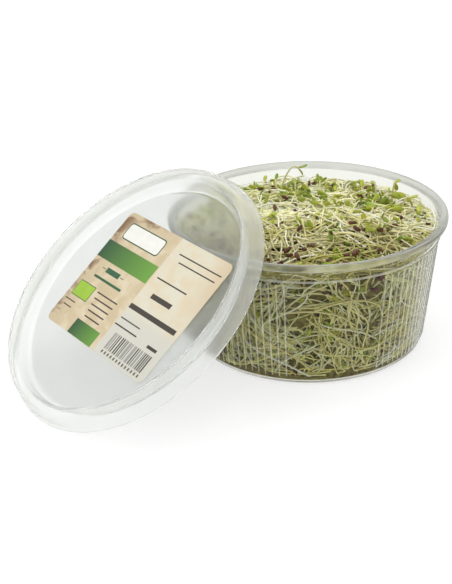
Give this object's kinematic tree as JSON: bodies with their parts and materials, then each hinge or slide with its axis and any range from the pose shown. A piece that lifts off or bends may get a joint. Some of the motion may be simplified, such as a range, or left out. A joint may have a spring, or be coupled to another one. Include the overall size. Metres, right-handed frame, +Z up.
{
  "type": "tub of alfalfa sprouts with its lid off",
  "caption": "Round translucent plastic tub heaped with alfalfa sprouts, its shallow labelled lid leaning against the rim.",
  "frame": {"origin": "centre of the tub's flat base, on the surface it stands on", "axes": "+Z up along the tub's axis, -Y towards the viewer of the picture; the lid leans on the rim towards -X and -Y"},
  "size_m": [0.1833, 0.1579, 0.0798],
  "materials": {
    "clear_plastic": "milky translucent polypropylene, satin",
    "label_print": "printed label with a kraft paper look",
    "sprout_stems": "moist pale plant stem",
    "sprout_leaves": "fresh green seed leaf"
  },
  "bodies": {
    "root": {"tub": "clear_plastic", "lid": "clear_plastic", "label": "label_print", "sprout_heap": "sprout_stems", "sprout_01": "sprout_leaves", "sprout_02": "sprout_leaves", "sprout_03": "sprout_leaves", "sprout_04": "sprout_leaves", "sprout_05": "sprout_leaves", "sprout_06": "sprout_leaves", "sprout_07": "sprout_leaves", "sprout_08": "sprout_leaves", "sprout_09": "sprout_leaves", "sprout_10": "sprout_leaves", "sprout_11": "sprout_leaves", "sprout_12": "sprout_leaves", "sprout_13": "sprout_leaves", "sprout_14": "sprout_leaves"}
  },
  "joints": []
}
